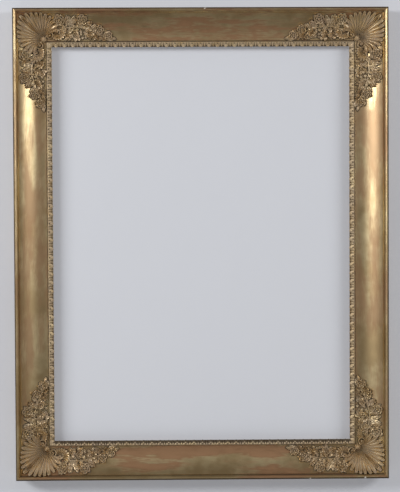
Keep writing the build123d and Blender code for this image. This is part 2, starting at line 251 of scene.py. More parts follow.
class Finish:
    """Node tree of one material."""

    def __init__(self, name):
        self.material = bpy.data.materials.new(name)
        self.material.use_nodes = True
        self.tree = self.material.node_tree
        self.tree.nodes.clear()

    def node(self, kind, settings=None, values=None):
        """One node: its settings first, then what its sockets hold or are linked to."""
        made = self.tree.nodes.new(kind)
        for name, value in (settings or {}).items():
            setattr(made, name, value)
        for key, value in (values or {}).items():
            socket = made.inputs[key]
            if isinstance(value, Tone):
                value = value.socket
            if isinstance(value, bpy.types.NodeSocket):
                self.tree.links.new(value, socket)
            elif socket.type == "RGBA" and len(value) == 3:
                socket.default_value = (*value, 1.0)
            else:
                socket.default_value = value
        return made

    def place(self):
        """Place on the object, in metres."""
        return self.node("ShaderNodeTexCoord").outputs["Object"]

    def stretched(self, place, scale):
        """Place with each direction scaled by its own number."""
        made = self.node("ShaderNodeVectorMath", {"operation": "MULTIPLY"}, {0: place, 1: scale})
        return made.outputs[0]

    def cloud(self, place, scale, detail=3.0, rough=0.55):
        """Soft noise from 0 to 1, its scale in features to a unit of the place."""
        values = {"Vector": place, "Scale": scale, "Detail": detail, "Roughness": rough}
        return Tone(self, self.node("ShaderNodeTexNoise", None, values).outputs["Fac"])

    def step(self, tone, low, high):
        """Smooth step of a tone, from 0 at one level to 1 at another."""
        settings = {"interpolation_type": "SMOOTHSTEP"}
        values = {"Value": tone, "From Min": low, "From Max": high}
        return Tone(self, self.node("ShaderNodeMapRange", settings, values).outputs[0])

    def attribute(self, name):
        """Number kept at the points of the mesh."""
        made = self.node("ShaderNodeAttribute", {"attribute_name": name})
        return Tone(self, made.outputs["Fac"])

    def between(self, first, second, mask):
        """Colour mixed from two by a mask."""
        made = self.node("ShaderNodeMix", {"data_type": "RGBA"}, {0: mask, 6: first, 7: second})
        return made.outputs[2]

    def near(self, place, spot, radius, edge):
        """Mask of a small patch round a spot, in metres, with an uneven edge."""
        far = self.node("ShaderNodeVectorMath", {"operation": "DISTANCE"}, {0: place, 1: spot})
        return self.step(Tone(self, far.outputs["Value"]) + edge, radius, radius * 0.7)

    def surface(self, values, height=None, strength=0.3, distance=0.0005):
        """Principled surface, with a bump, its depth in metres, where a height is given."""
        if height is not None:
            relief = {"Strength": strength, "Distance": distance, "Height": height}
            values = {**values, "Normal": self.node("ShaderNodeBump", None, relief).outputs[0]}
        shader = self.node("ShaderNodeBsdfPrincipled", None, values)
        self.node("ShaderNodeOutputMaterial", None, {"Surface": shader.outputs[0]})
        return self.material


def along_axis(along, across, scale):
    """Three scales: one across the grain or streaks, and another along them."""
    return [scale if axis == along else across for axis in "xyz"]


# Noise of the gilding: features to a metre, and detail
GILT_NOISE = ((7.0, 3.0), (38.0, 4.0), (260.0, 3.0), (900.0, 2.0))
CHIP_EDGE = 0.006  # metres of unevenness in the edge of a chip


def gilt(name, colours, rough, dirt_and_shade, dust=0.0, rub=1.0, mottle=0.5, thinned=0.0, along=None, chips=()):
    """Old gold leaf over red bole on gesso: dirt and painted shade in the hollows, bole and gesso where it
    has rubbed.

    Dirt and shade, dust, rub, mottle and thinned say how much there is of each. Streaks run along a rail.
    """
    finish = Finish(name)
    place = finish.place()
    relief = finish.attribute("relief")
    broad, patch, grain, fleck = [finish.cloud(place, *noise) for noise in GILT_NOISE]
    toned = finish.step(broad * 0.7 + patch * 0.3, 0.38, 0.62)
    gold = finish.between(colours.gold_deep, colours.gold_pale, toned)
    # Low relief is darkened towards the grime colour: dirt in the hollows and painted shade there
    hollow = (1 - relief) * 0.85 * dirt_and_shade
    grime_and_shade = finish.step(hollow + (patch - 0.5) * mottle + (grain - 0.5) * 0.22, 0.42, 0.9)
    worn = finish.step(relief * 0.45 * rub + patch * 0.75 + grain * 0.3, 0.98, 1.14)
    height = broad * 0.25 + patch * (0.08 if along else 0.25) + grain * 0.08 + fleck * 0.03
    metal = (1 - grime_and_shade * 0.72) * (1 - worn * 0.7)
    if dust:
        settled = finish.step(patch * 0.5 + grain * 0.5, 0.3, 0.62) * dust
        gold = finish.between(gold, colours.dust, settled)
        metal = metal * (1 - settled * 0.6)
    dull = rough + grime_and_shade * 0.3 + worn * 0.22 + (patch - 0.5) * 0.1
    if along:
        drawn = finish.stretched(place, along_axis(along, 1.0, 0.16))
        streak = finish.cloud(drawn, 26.0, 4.0, 0.6)
        brushed = finish.cloud(drawn, 210.0, 3.0)
        streaks = streak * 0.7 + broad * 0.3 + (brushed - 0.5) * 0.18
        thin = finish.step(streaks, 0.42, 0.6) * thinned
        gold = finish.between(gold, colours.thin_leaf, thin)
        metal = metal * (1 - thin * 0.3)
        dull = dull + thin * 0.08
        height = height + brushed * 0.06
    colour = finish.between(gold, colours.bole, worn * 0.6)
    # Painted shade and dirt: low places and rims darkened to the grime colour
    colour = finish.between(colour, colours.grime_and_shade, grime_and_shade * 0.9)
    for spot, radius in chips:
        chip = finish.near(place, spot, radius, (grain - 0.5) * CHIP_EDGE)
        colour = finish.between(colour, colours.gesso, chip)
        metal = metal * (1 - chip)
        dull = dull + chip * 0.4
        height = height - chip * 0.6
    values = {"Base Color": colour, "Metallic": metal, "Roughness": dull}
    return finish.surface(values, height, strength=0.3, distance=0.0008)


def pine(name, colours, along):
    """Old pine, its grain along one direction, darkened by handling and age."""
    finish = Finish(name)
    place = finish.place()
    drawn = finish.stretched(place, along_axis(along, 58.0, 1.6))
    warp = finish.cloud(finish.stretched(place, (5.0, 5.0, 5.0)), 1.0, 2.0)
    ring = finish.cloud(drawn, 1.0, 2.0)
    lines = (ring * 52.0 + warp * 9.0).sine()
    fine = finish.cloud(finish.stretched(drawn, (5.0, 5.0, 5.0)), 1.0, 3.0)
    age = finish.cloud(place, 4.0, 4.0)
    late = finish.step(lines * 0.5 + 0.5 + (fine - 0.5) * 0.6, 0.45, 0.95)
    colour = finish.between(colours.pine_pale, colours.pine_dark, late * 0.5)
    handled = finish.step(age + (fine - 0.5) * 0.3, 0.42, 0.72) * 0.7
    colour = finish.between(colour, colours.wood_grime, handled)
    rough = 0.72 + (fine - 0.5) * 0.2
    values = {"Base Color": colour, "Roughness": rough}
    return finish.surface(values, fine * 0.5 + late * 0.4, 0.35, 0.0006)


def beech(name, colours):
    """Pale close-grained wood of the keys, its flecks along the key."""
    finish = Finish(name)
    place = finish.place()
    fine = finish.cloud(finish.stretched(place, (260.0, 260.0, 160.0)), 1.0, 3.0)
    age = finish.cloud(place, 22.0, 3.0)
    colour = finish.between(colours.beech_pale, colours.beech_dark, finish.step(fine, 0.35, 0.75))
    colour = finish.between(colour, colours.wood_grime, finish.step(age, 0.45, 0.8) * 0.6)
    values = {"Base Color": colour, "Roughness": 0.62 + (fine - 0.5) * 0.2}
    return finish.surface(values, fine, 0.25, 0.0004)


def old_metal(name, clean, dull, spotted, rough, tarnish):
    """Handled metal: its own colour where rubbed, duller where not, with spots of rust or verdigris."""
    finish = Finish(name)
    place = finish.place()
    patch = finish.cloud(place, 60.0, 4.0)
    grain = finish.cloud(place, 420.0, 3.0)
    scratch = finish.cloud(finish.stretched(place, (900.0, 900.0, 60.0)), 1.0, 2.0)
    dulled = finish.step(patch + (grain - 0.5) * 0.4, 0.35, 0.7) * tarnish
    spots = finish.step(patch * 0.6 + grain * 0.5, 0.6, 0.72)
    colour = finish.between(clean, dull, dulled)
    colour = finish.between(colour, spotted, spots * 0.7)
    metal = 1 - spots * 0.6 - dulled * 0.15
    shine = rough + dulled * 0.2 + spots * 0.25 + (scratch - 0.5) * 0.12
    values = {"Base Color": colour, "Metallic": metal, "Roughness": shine}
    return finish.surface(values, grain * 0.5 + scratch * 0.3, 0.2, 0.0003)


# ---- Rails

def level_point(side, run, reach, height):
    """World point over a rail, from its place along it, in from its outer edge and off the wall."""
    if side in LEVEL_SIDES:
        return np.stack((run, -height, MIDDLE + OUTWARD[side] * (HALF_HEIGHT - reach)), axis=-1)
    return np.stack((OUTWARD[side] * (HALF_WIDTH - reach), -height, MIDDLE + run), axis=-1)


def side_half(side):
    """Half the outer length of a rail."""
    return HALF_WIDTH if side in LEVEL_SIDES else HALF_HEIGHT


def section_line():
    """Points round a rail's section: reach, height and how well rubbed the place is. Low values paint the
    place dark, as dirt and painted shade: the quirk, the groove and the outer side nearer the wall.
    """
    line = [(0.4, CHASSIS_TOP, 0.4), (0.0, CHASSIS_TOP + 0.4, 0.4)]
    for height in np.linspace(CHASSIS_TOP + 3, BEAD_TOP - 10.5, 14):
        line.append((0.0, height, 0.2 + 0.004 * height))
    line += [(reach, BEAD_TOP - drop, rubbed) for reach, drop, rubbed in BEAD]
    line += [
        (BEAD_END + 0.3, BEAD_SPRING - 1.6, 0.5),
        (BEAD_END + 0.7, QUIRK_FLOOR + 0.8, 0.3),
        (BEAD_END + 1.2, QUIRK_FLOOR, 0.3),
        (COVE_START - 1.6, QUIRK_FLOOR, 0.4),
        (COVE_START - 0.8, QUIRK_FLOOR + 0.8, 0.8),
        (COVE_START, COVE_TOP - 0.6, 1.0),
        (COVE_START + 0.5, COVE_TOP - 0.15, 1.0),
    ]
    for reach in np.linspace(COVE_START + 1.2, COVE_END - 1.0, 44):
        near_edge = min(reach - COVE_START, COVE_END - reach)
        line.append((reach, float(cove_height(reach)), 0.55 + 0.2 * smooth(near_edge / 8.0)))
    line += [
        (COVE_END - 0.3, COVE_FLOOR, 0.9),
        (COVE_END + 0.2, COVE_FLOOR - 0.4, 0.4),
        (COVE_END + 0.7, GROOVE_FLOOR, 0.2),
        (EDGING_START, GROOVE_FLOOR, 0.2),
        (EDGING_START, SEAT, 0.0),
    ]
    line += [(reach, SEAT, 0.1) for reach in np.linspace(EDGING_START + 3, LIP_EDGE - 0.5, 5)]
    line += [
        (LIP_EDGE, SEAT - 0.5, 0.3),
        (LIP_EDGE, CHASSIS_TOP + 0.4, 0.3),
        (LIP_EDGE - 0.4, CHASSIS_TOP, 0.1),
    ]
    return np.array(line)


def unevenness(across, up):
    """Slow rise and fall of hand-scraped gesso, the same on both rails of a mitre."""
    return (
        0.1 * np.sin(across * 0.021 + 1.3) * np.sin(up * 0.017 + 0.4)
        + 0.04 * np.sin(across * 0.083 + up * 0.031 + 2.1)
        + 0.03 * np.sin(up * 0.097 - across * 0.043 + 0.7)
    )


def rail_piece(side, steps=110):
    """Gilded moulding of one side, mitred at both ends."""
    reach, height, lift = section_line().T
    # The bottom rail's groove is painted lighter than on the other rails: less painted shade, as light from
    # above falls into it
    if side == "bottom":
        lift = np.where((reach > COVE_END) & (reach < EDGING_START + 1), 0.7, lift)
    run = np.linspace(-1, 1, steps)[:, None] * (side_half(side) - reach[None, :])
    reach_grid = np.broadcast_to(reach, run.shape)
    height_grid = np.broadcast_to(height, run.shape).copy()
    level = side in LEVEL_SIDES
    across = run if level else (HALF_WIDTH - reach_grid) * OUTWARD[side]
    up = (HALF_HEIGHT - reach_grid) * OUTWARD[side] if level else run
    free = (height_grid > CHASSIS_TOP + 8) | (reach_grid > 1)
    height_grid += np.where(free & (height_grid > SEAT + 1), unevenness(across, up), 0.0)
    shell = Shell()
    shell.tube(level_point(side, run, reach_grid, height_grid), lift)
    return shell.piece("gilt_moulding_" + side, sharp=28.0)


# Leaves and darts of the edging, in shares of a leaf's pitch across and of its length out to the tip
LEAF_HALF = 0.33
DART_HALF = 0.17
UNEVEN_EDGING = 300.0  # where unevenness is read, off the middle of the frame


def leaf_tip_height(phase, share):
    """Relief of the edging over its plain section, by place across a leaf and share out to its tip."""
    apart = np.abs(phase)

    def rises(start, run):
        return smooth((share - start) / run)

    out = rises(0.12, 0.3)
    leaf_crown = 0.8 * dome(apart / LEAF_HALF) * out
    rim = 0.6 * bump(apart - 0.235, 0.035) * rises(0.3, 0.3) * (1 - rises(0.86, 0.14))
    midrib = 0.9 * bump(phase, 0.035) * rises(0.1, 0.2) * (1 - 0.6 * rises(0.75, 0.25))
    hollow = -1.0 * bump(apart - 0.13, 0.05) * rises(0.25, 0.25) * (1 - rises(0.8, 0.2))
    parting = -1.7 * bump(apart - 0.345, 0.03) * out
    dart = 1.0 * bump(apart - 0.5, 0.06) * rises(0.35, 0.3)
    tip_roll = 1.2 * bump(share - 0.93, 0.07) * bump(phase, 0.1)
    eye = -2.2 * bump(apart, 0.07) * bump(share - 0.36, 0.1)
    return 0.55 * (leaf_crown + rim + midrib + hollow + parting + dart) + tip_roll + eye


def edging_piece(side, settings):
    """Leaf-tip edging of one side, its leaves and darts cut out along the sight edge."""
    half_sight = side_half(side) - RAIL
    count = round(2 * half_sight / settings.leaf_pitch * MM)
    start = np.linspace(0, count, count * settings.leaf_steps + 1)
    flat = start * 2 * half_sight / count - half_sight
    share = np.concatenate((np.linspace(0, 0.4, 5, endpoint=False), np.linspace(0.4, 1, 10)))[None, :]
    phase = (start - 0.5 - np.round(start - 0.5))[:, None]
    apart = np.abs(phase)
    leaf_out = 1 - 0.4 * np.clip(apart / LEAF_HALF, 0, 1) ** 1.5
    dart_out = 0.93 - 0.42 * np.clip((0.5 - apart) / DART_HALF, 0, 1) ** 1.1
    reach = EDGING_START + share * np.maximum(leaf_out, dart_out) * (RAIL - EDGING_START)
    relief = leaf_tip_height(phase, share)
    plain = np.interp(share, (0, 0.3, 1), (4.5, 7.5, 2.5)) - 1.6
    rise = plain + relief * np.interp(share, (0, 0.08), (0, 1)) + 0.8 * bump(share - 0.2, 0.07)
    # Low relief and the foot of the edging are painted dark by the gilding: dirt and painted shade
    lift = np.clip((relief + 1.3) / 2.2, 0, 1) * np.interp(share, (0, 0.1), (0.3, 1))
    # The bottom edging's leaves are painted darker towards their tips: painted shade
    if side == "bottom":
        lift = lift * np.interp(share, (0.45, 0.85), (1.0, 0.15))
    run = np.broadcast_to(flat[:, None], reach.shape)
    mitres = []
    for sign, row, steps in (
        (-1, 0, np.linspace(1, 0, 6, endpoint=False)),
        (1, -1, np.linspace(0, 1, 7)[1:]),
    ):
        spread = steps[:, None] * (RAIL - reach[row][None, :])
        crease = 0.9 * bump(steps[:, None] - 0.5, 0.2) * smooth((share - 0.1) / 0.3)
        kept = [np.broadcast_to(grid[row], spread.shape) for grid in (reach, rise, lift)]
        mitres.append((sign * (half_sight + spread), kept[0], kept[1] + crease, kept[2]))
    grids = zip(mitres[0], (run, reach, rise, lift), mitres[1])
    run, reach, rise, lift = (np.concatenate(parts) for parts in grids)
    edge = np.full_like(run, UNEVEN_EDGING * OUTWARD[side])
    wobble = unevenness(run, edge) if side in LEVEL_SIDES else unevenness(edge, run)
    rise = rise + wobble * smooth((half_sight - np.abs(run)) / 20.0)
    shell = Shell()
    top = level_point(side, run, reach, SEAT + rise)
    shell.cover(top, level_point(side, run, reach, np.full_like(rise, SEAT)), lift)
    return shell.piece("leaf_tips_" + side, sharp=62.0)


# ---- Forms of the castings. Each takes shares along and across and gives a half width and a height.

def spread_evenly(count):
    """Shares across a form, from -1 to 1, closer at its edges."""
    even = np.linspace(-1, 1, count)
    return np.sin(even * math.pi / 2) * 0.6 + even * 0.4


def lobe_form(along, across, start=0.26, turn=0.8, floor=0.36):
    """Channelled lobe with raised rims and a rolled, round end."""
    past = np.clip((along - turn) / (1 - turn), 0, 1)
    half = (start + (1 - start) * smooth(along / turn)) * dome(past)
    out = np.sqrt(across**2 * (1 - past**2) + past**2)
    inside = floor + (1 - floor) * smooth((out - 0.18) / 0.56) ** 1.2
    outside = dome((out - 0.74) / 0.26)
    swell = 0.5 + 0.5 * smooth(along / 0.55) + 0.28 * bump(along - 0.92, 0.09)
    return half, np.where(out > 0.74, outside, inside) * swell


def petal_form(along, across):
    """Cupped petal, hollow in the middle with a rolled edge."""
    return lobe_form(along, across, start=0.3, turn=0.5)


def finger_form(along, across):
    """Finger of an acanthus leaf, hollow down its middle with a rolled end."""
    return lobe_form(along, across, start=0.45, turn=0.6, floor=0.5)


def rib_form(along, across):
    """Pointed rib with a sharp ridge."""
    half = (0.35 + 0.65 * smooth(along / 0.6)) * np.clip((1 - along) / 0.34, 0, 1) ** 0.75
    return half, (1 - np.abs(across)) ** 0.85 * (0.45 + 0.55 * smooth(along / 0.6))


def leaf_form(along, across, points=3.5):
    """Pointed leaf with a creased midrib, side veins and a toothed edge."""
    body = np.sin(math.pi * np.clip(along, 0, 1) ** 0.8) ** 0.75
    half = np.maximum(body, 0.22 * (1 - along)) * (1 + 0.16 * np.cos(2 * math.pi * points * along))
    veins = 0.82 + 0.18 * np.cos(2 * math.pi * (points * along + 0.8 * np.abs(across)))
    crown = np.sqrt(np.clip(1 - np.abs(across) ** 2.2, 0, 1)) * veins
    crease = 1 - 0.5 * bump(across, 0.13)
    return half, crown * crease * (0.6 + 0.4 * np.sin(math.pi * along))


def stem_form(along, across):
    """Round stem, thinner towards its end."""
    return 1 - 0.45 * along, dome(across)


def bud_form(along, across):
    """Closed bud with three folds."""
    half = np.sin(math.pi * np.clip(along, 0, 1) ** 0.7) ** 0.6
    folds = 0.8 + 0.2 * np.cos(across * 7.5)
    return half, dome(across) * folds * (0.5 + 0.5 * np.sin(math.pi * along**0.8))


def encloses(corners, spot):
    """Whether an outline goes round a spot."""
    inside = False
    for (x0, y0), (x1, y1) in zip(corners, np.roll(corners, -1, axis=0)):
        crosses = (y0 > spot[1]) != (y1 > spot[1])
        if crosses and spot[0] < x0 + (spot[1] - y0) * (x1 - x0) / (y1 - y0):
            inside = not inside
    return inside


def turned(root, reach, way):
    """Place, or places, at a distance from another in a direction given by its angle."""
    return np.stack((root[0] + reach * np.cos(way), root[1] + reach * np.sin(way)), axis=-1)


class Casting(Shell):
    """Ornament laid over the mitred cove of one corner, in places measured in from its two outer edges."""

    foot_depth = 2.5
    dirt_and_shade_rim = 1.5  # rim of size round each form, painted dark as dirt and painted shade
    dirt_and_shade_rim_rise = 0.25

    def __init__(self, corner, swapped=False, seed=0):
        super().__init__()
        self.corner = corner
        self.swapped = swapped
        self.chance = random.Random(seed)

    def world(self, plan, rise):
        """World points, in millimetres, of places in the corner's plan."""
        across, down = (plan[..., 1], plan[..., 0]) if self.swapped else (plan[..., 0], plan[..., 1])
        side_x, side_z = self.corner
        height = cove_height(np.minimum(across, down)) + rise
        return np.stack(
            (side_x * (HALF_WIDTH - across), -height, MIDDLE + side_z * (HALF_HEIGHT - down)), axis=-1
        )

    def lay(self, plan, rise, lift, ring=False):
        """Adds one form from its plan places and rises."""
        foot = self.world(plan, np.full_like(rise, -self.foot_depth))
        self.cover(self.world(plan, rise), foot, np.clip(lift, 0, 1), ring)

    def blade(self, path, width, rise, form, base=0.0, steps=18, columns=11, **shape):
        """Form drawn out along a smooth line."""
        width *= self.chance.uniform(0.95, 1.05)
        rise *= self.chance.uniform(0.93, 1.07)
        line = smooth_path(path, steps)
        tangent = np.gradient(line, axis=0)
        tangent /= np.linalg.norm(tangent, axis=1)[:, None]
        side = np.stack((-tangent[:, 1], tangent[:, 0]), axis=-1)
        along = np.linspace(0, 1, steps)[:, None]
        across = spread_evenly(columns)[None, :]
        half, lift = form(along, across, **shape)
        lift = np.broadcast_to(lift, (steps, columns))
        aside = across * half * width / 2
        high = base + lift * rise
        # Forms laid on the cove get a rim with no relief, which the gilding paints dark: dirt and painted
        # shade where the form meets the cove
        if not base:
            edge = np.clip(half * 4, 0, 1) * self.dirt_and_shade_rim
            aside = np.concatenate((aside[:, :1] - edge, aside, aside[:, -1:] + edge), axis=1)
            high = np.pad(high, ((0, 0), (1, 1)), constant_values=self.dirt_and_shade_rim_rise)
            lift = np.pad(lift, ((0, 0), (1, 1)))
        self.lay(line[:, None, :] + side[:, None, :] * aside[..., None], high, lift)

    def boss(self, centre, radius, rise, folds=0, depth=0.0, base=0.0, steps=7, columns=24):
        """Dome, with folds round it where they are asked for."""
        turn = np.linspace(0, 2 * math.pi, columns, endpoint=False)[None, :]
        out = np.linspace(0, 1, steps)[:, None] ** 0.75
        fold = 1 + depth * np.cos(folds * turn)
        plan = turned(centre, out * fold * radius, turn)
        lift = dome(out) * (1 + 1.2 * (fold - 1) * out)
        self.lay(plan, base + lift * rise, lift, ring=True)

    def flower(self, centre, radius, rise, inner=True, turn=0.0, petals=5):
        """Rosette: outer petals, inner ones between them where asked for, and a knobbed eye."""
        turn += self.chance.uniform(-0.2, 0.2)
        rings = [(radius, 0.0, turn, rise * 0.72)]
        if inner:
            rings.append((radius * 0.62, rise * 0.34, turn + math.pi / petals, rise * 0.6))
        for reach, base, first, high in rings:
            wide = 2 * reach * math.sin(math.pi / petals) * 0.86
            for i in range(petals):
                way = first + 2 * math.pi * i / petals
                path = [turned(centre, reach * far, way) for far in (0.1, 0.55, 1)]
                self.blade(path, wide, high, petal_form, base=base, steps=11, columns=9)
        eye_base = rise * (0.55 if inner else 0.35)
        self.boss(centre, radius * 0.24, rise * 0.55, folds=6, depth=0.16, base=eye_base)

    def acanthus(self, start, end, width, rise, bend=0.0, pairs=3):
        """Acanthus leaf: fingers on both sides of a rib, curling forward."""
        start, end = np.array(start, float), np.array(end, float)
        run = end - start
        middle = (start + end) / 2 + np.array((-run[1], run[0])) * bend
        line = smooth_path((start, middle, end), 13)
        for i in range(pairs):
            share = (i + 0.35) / pairs
            root = line[int(share * 9)]
            ahead = line[int(share * 9) + 2] - root
            ahead /= np.linalg.norm(ahead)
            aside = np.array((-ahead[1], ahead[0]))
            far = width * (0.62 - 0.16 * share) * self.chance.uniform(0.9, 1.1)
            for way in (1, -1):
                out = root + (aside * way * 0.75 + ahead * 0.35) * far * 0.62
                tip = root + (aside * way * 0.8 + ahead * 0.85) * far
                self.blade((root, out, tip), width * 0.36, rise * 0.8, finger_form, steps=10, columns=7)
        self.blade(line[6:13:3], width * 0.42, rise * 0.85, finger_form, steps=10, columns=7)
        self.blade(line[[0, 5, 11]], width * 0.17, rise, rib_form, base=0.6, steps=12, columns=5)

    def fill(self, outline, pitch):
        """Small curled leaves strewn inside an outline, on a jittered grid."""
        corners = np.array(outline, float)
        low, high = corners.min(axis=0), corners.max(axis=0)
        for across in np.arange(low[0] + pitch / 2, high[0], pitch):
            for down in np.arange(low[1] + pitch / 2, high[1], pitch):
                jitter = [self.chance.uniform(-0.3, 0.3) * pitch for _ in range(2)]
                spot = np.array((across, down)) + jitter
                way = self.chance.uniform(0, 2 * math.pi)
                long = pitch * self.chance.uniform(1.1, 1.7)
                curve = self.chance.choice((-0.6, 0.6))
                rise = self.chance.uniform(3.6, 5.6)
                if encloses(corners, spot):
                    path = [turned(spot, long * far, way + curve * far) for far in (-0.5, 0.0, 0.5)]
                    self.blade(path, pitch * 0.75, rise, leaf_form, steps=9, columns=7, points=2.5)

    def curl(self, centre, radius, width, rise, start, turns, way=1, steps=34):
        """Rolled ribbon that winds in to a ball."""
        share = np.linspace(0, 1, steps)
        angle = start + way * 2 * math.pi * turns * share
        reach = radius * (1 - 0.72 * share)
        path = turned(centre, reach, angle)
        self.blade(path, width, rise, stem_form, steps=steps, columns=9)
        self.boss(centre, radius * 0.34, rise * 1.1, steps=6, columns=16)


# ---- Palmette and sprays. Places are (in from the upright edge, in from the level edge).

HEART = 89.0  # in from both outer edges
LOBE_RISE = 7.0
LOBES = (
    # angle off the mitre in degrees, length, width, bend away from the mitre in degrees
    (8.6, 91.0, 12.4, 2.5),
    (17.2, 85.0, 12.2, 5.5),
    (25.8, 80.0, 12.0, 9.0),
    (34.4, 76.5, 11.8, 13.0),
    (43.0, 74.0, 11.5, 18.0),
    (51.6, 71.0, 11.2, 25.0),
    (60.2, 67.0, 10.8, 34.0),
    (69.0, 60.0, 10.4, 43.0),
    (78.0, 53.0, 10.0, 53.0),
)


def lobe_path(angle, length, bend=0.0, start=0.1):
    """Line of a lobe out from the heart, bending away from the mitre towards its end."""
    path = []
    for far in (start, 0.4, 0.7, 1.0):
        bent = angle + math.copysign(bend, angle) * far * far * 0.5
        path.append(turned((HEART, HEART), -length * far, math.pi / 4 + math.radians(bent)))
    return path


def palmette_piece(name, corner, seed):
    """Palmette: channelled lobes fanned round a pointed rib, a folded heart, two leaves and two curls."""
    cast = Casting(corner, seed=seed)
    for angle, length, width, bend in LOBES[::-1]:
        for side in (1, -1):
            cast.blade(lobe_path(side * angle, length, bend), width, LOBE_RISE, lobe_form, steps=24)
    cast.blade(lobe_path(0.001, 97.0), 13.0, 6.6, lobe_form, steps=26)
    cast.blade(lobe_path(0.001, 82.0, start=0.3), 6.0, 10.0, rib_form, steps=18, columns=9)
    cast.boss((HEART - 1, HEART - 1), 9.0, 9.0, folds=8, depth=0.14, steps=9, columns=32)
    cast.blade([(HEART + far, HEART + far) for far in (-4, 1, 6)], 11.0, 6.5, rib_form, steps=10)
    for side in (1, -1):
        leaf = [(HEART + 3, HEART - 6), (HEART + 12, HEART - 11), (HEART + 20, HEART - 9)]
        cast.blade([spot[::side] for spot in leaf], 9.0, 6.0, leaf_form, steps=16)
    for side in (1, -1):
        centre = (HEART + 16, HEART - 12)[::side]
        cast.curl(centre, 10.5, 5.0, 9.0, math.pi / 4 - side * math.pi / 2, 1.15, way=side)
    return cast.piece(name, sharp=58.0)


# Parts of a spray on an upright rail, from the palmette outwards
STEM = [(62, 112), (60, 135), (55, 160), (54, 190), (62, 222), (74, 250), (84, 272)]
STALKS = ([(56, 150), (46, 144), (37, 137)], [(54, 186), (46, 192), (36, 199)])
FAN_ROOT = (65, 125)
FAN_FINGERS = 9
FAN_START = -22.0  # degrees
FAN_STEP = 17.0
FILLED = ((46, 138), (92, 152), (93, 284), (84, 286), (46, 222))
TOOTHED_LEAVES = (
    # root, tip, width
    ((42, 142), (17, 124), 15.0),
    ((40, 148), (20, 158), 12.0),
    ((53, 157), (21, 163), 18.0),
    ((54, 166), (21, 182), 18.0),
    ((46, 166), (36, 188), 12.0),
    ((50, 208), (40, 231), 16.0),
    ((58, 226), (46, 243), 13.0),
    ((84, 266), (93, 291), 13.0),
    ((46, 196), (22, 218), 13.0),
    ((76, 268), (64, 284), 12.0),
)
ACANTHUS_LEAVES = (
    # root, tip, width, bend as a share of the length
    ((57, 158), (88, 166), 24.0, -0.2),
    ((56, 176), (90, 196), 27.0, -0.25),
    ((60, 204), (84, 226), 25.0, 0.2),
    ((54, 148), (28, 158), 17.0, 0.15),
    ((54, 180), (30, 190), 18.0, 0.15),
    ((76, 256), (92, 266), 15.0, 0.0),
    ((56, 214), (38, 230), 15.0, 0.1),
    ((70, 236), (92, 246), 15.0, 0.2),
)
FLOWERS = (
    # place, radius, rise, whether it has inner petals, turn in radians
    ((34.5, 134.6), 17.0, 10.5, True, 0.0),
    ((34.0, 200.6), 16.0, 10.0, True, 0.5),
    ((61.0, 249.5), 14.5, 9.0, True, 0.2),
    ((77.5, 273.8), 14.5, 9.0, True, 0.9),
    ((71.0, 182.0), 8.5, 8.5, False, 0.0),
    ((73.0, 217.0), 8.5, 8.5, False, 0.4),
    ((78.0, 158.0), 8.0, 8.5, False, 0.2),
    ((84.0, 236.0), 7.0, 7.0, False, 0.7),
)


def spray_piece(name, corner, swapped, seed):
    """Flower spray along one rail: fan and curl, roses, stems, leaves and an end bud."""
    cast = Casting(corner, swapped, seed)
    cast.blade(STEM, 5.2, 4.0, stem_form, steps=40, columns=9)
    for stalk in STALKS:
        cast.blade(stalk, 5.0, 4.0, stem_form, steps=12, columns=7)
    for i in range(FAN_FINGERS):
        way = math.radians(FAN_START + FAN_STEP * i)
        far = 27.0 + 4.0 * math.sin(way)
        finger = ((0.15, -0.35), (0.6, -0.15), (1.0, 0.12))
        path = [turned(FAN_ROOT, far * share, way + curve) for share, curve in finger]
        cast.blade(path, 6.6, 7.0, finger_form, steps=14, columns=7)
    cast.curl((66, 128), 8.0, 4.5, 8.0, 0.6, 1.1)
    cast.blade([(64, 104), (56, 116), (47, 132)], 17.0, 6.5, rib_form, steps=14)
    cast.blade([(50, 108), (40, 116), (30, 119)], 10.0, 5.5, rib_form, steps=12)
    cast.fill(FILLED, 11.0)
    for root, tip, wide in TOOTHED_LEAVES:
        middle = [(root[i] + tip[i]) / 2 + cast.chance.uniform(-3, 3) for i in range(2)]
        cast.blade([root, middle, tip], wide, 6.0, leaf_form, steps=20)
    for root, tip, wide, bend in ACANTHUS_LEAVES:
        cast.acanthus(root, tip, wide, 6.8, bend)
    for flower in FLOWERS:
        cast.flower(*flower)
    cast.blade([(82, 284), (86, 292), (88, 301)], 10.0, 6.0, bud_form, steps=14)
    return cast.piece(name, sharp=58.0)


# ---- Hanger and screws

RING_WIRE = 3.0
RING_CORNER = 2.2
SHANK_LENGTH = 12.0
PLATE_SCREW_RADIUS = 3.2
BUTTON_SCREW_RADIUS = 4.2


def swept_ring(name, path, radius, columns=14):
    """Closed round wire along a path of points in an upright plane."""
    path = np.array(path, float)
    tangent = np.roll(path, -1, axis=0) - np.roll(path, 1, axis=0)
    tangent /= np.linalg.norm(tangent, axis=1)[:, None]
    depth = np.array((0.0, 1.0, 0.0))
    side = np.cross(tangent, depth)
    turn = np.linspace(0, 2 * math.pi, columns, endpoint=False)[None, :, None]
    points = path[:, None, :] + side[:, None, :] * (radius * np.cos(turn)) + depth * (radius * np.sin(turn))
    shell = Shell()
    numbers = shell.add(points, 0.5)
    closed = np.concatenate((numbers, numbers[:, :1]), axis=1)
    shell.quads(np.concatenate((closed, closed[:1])))
    return shell.piece(name)


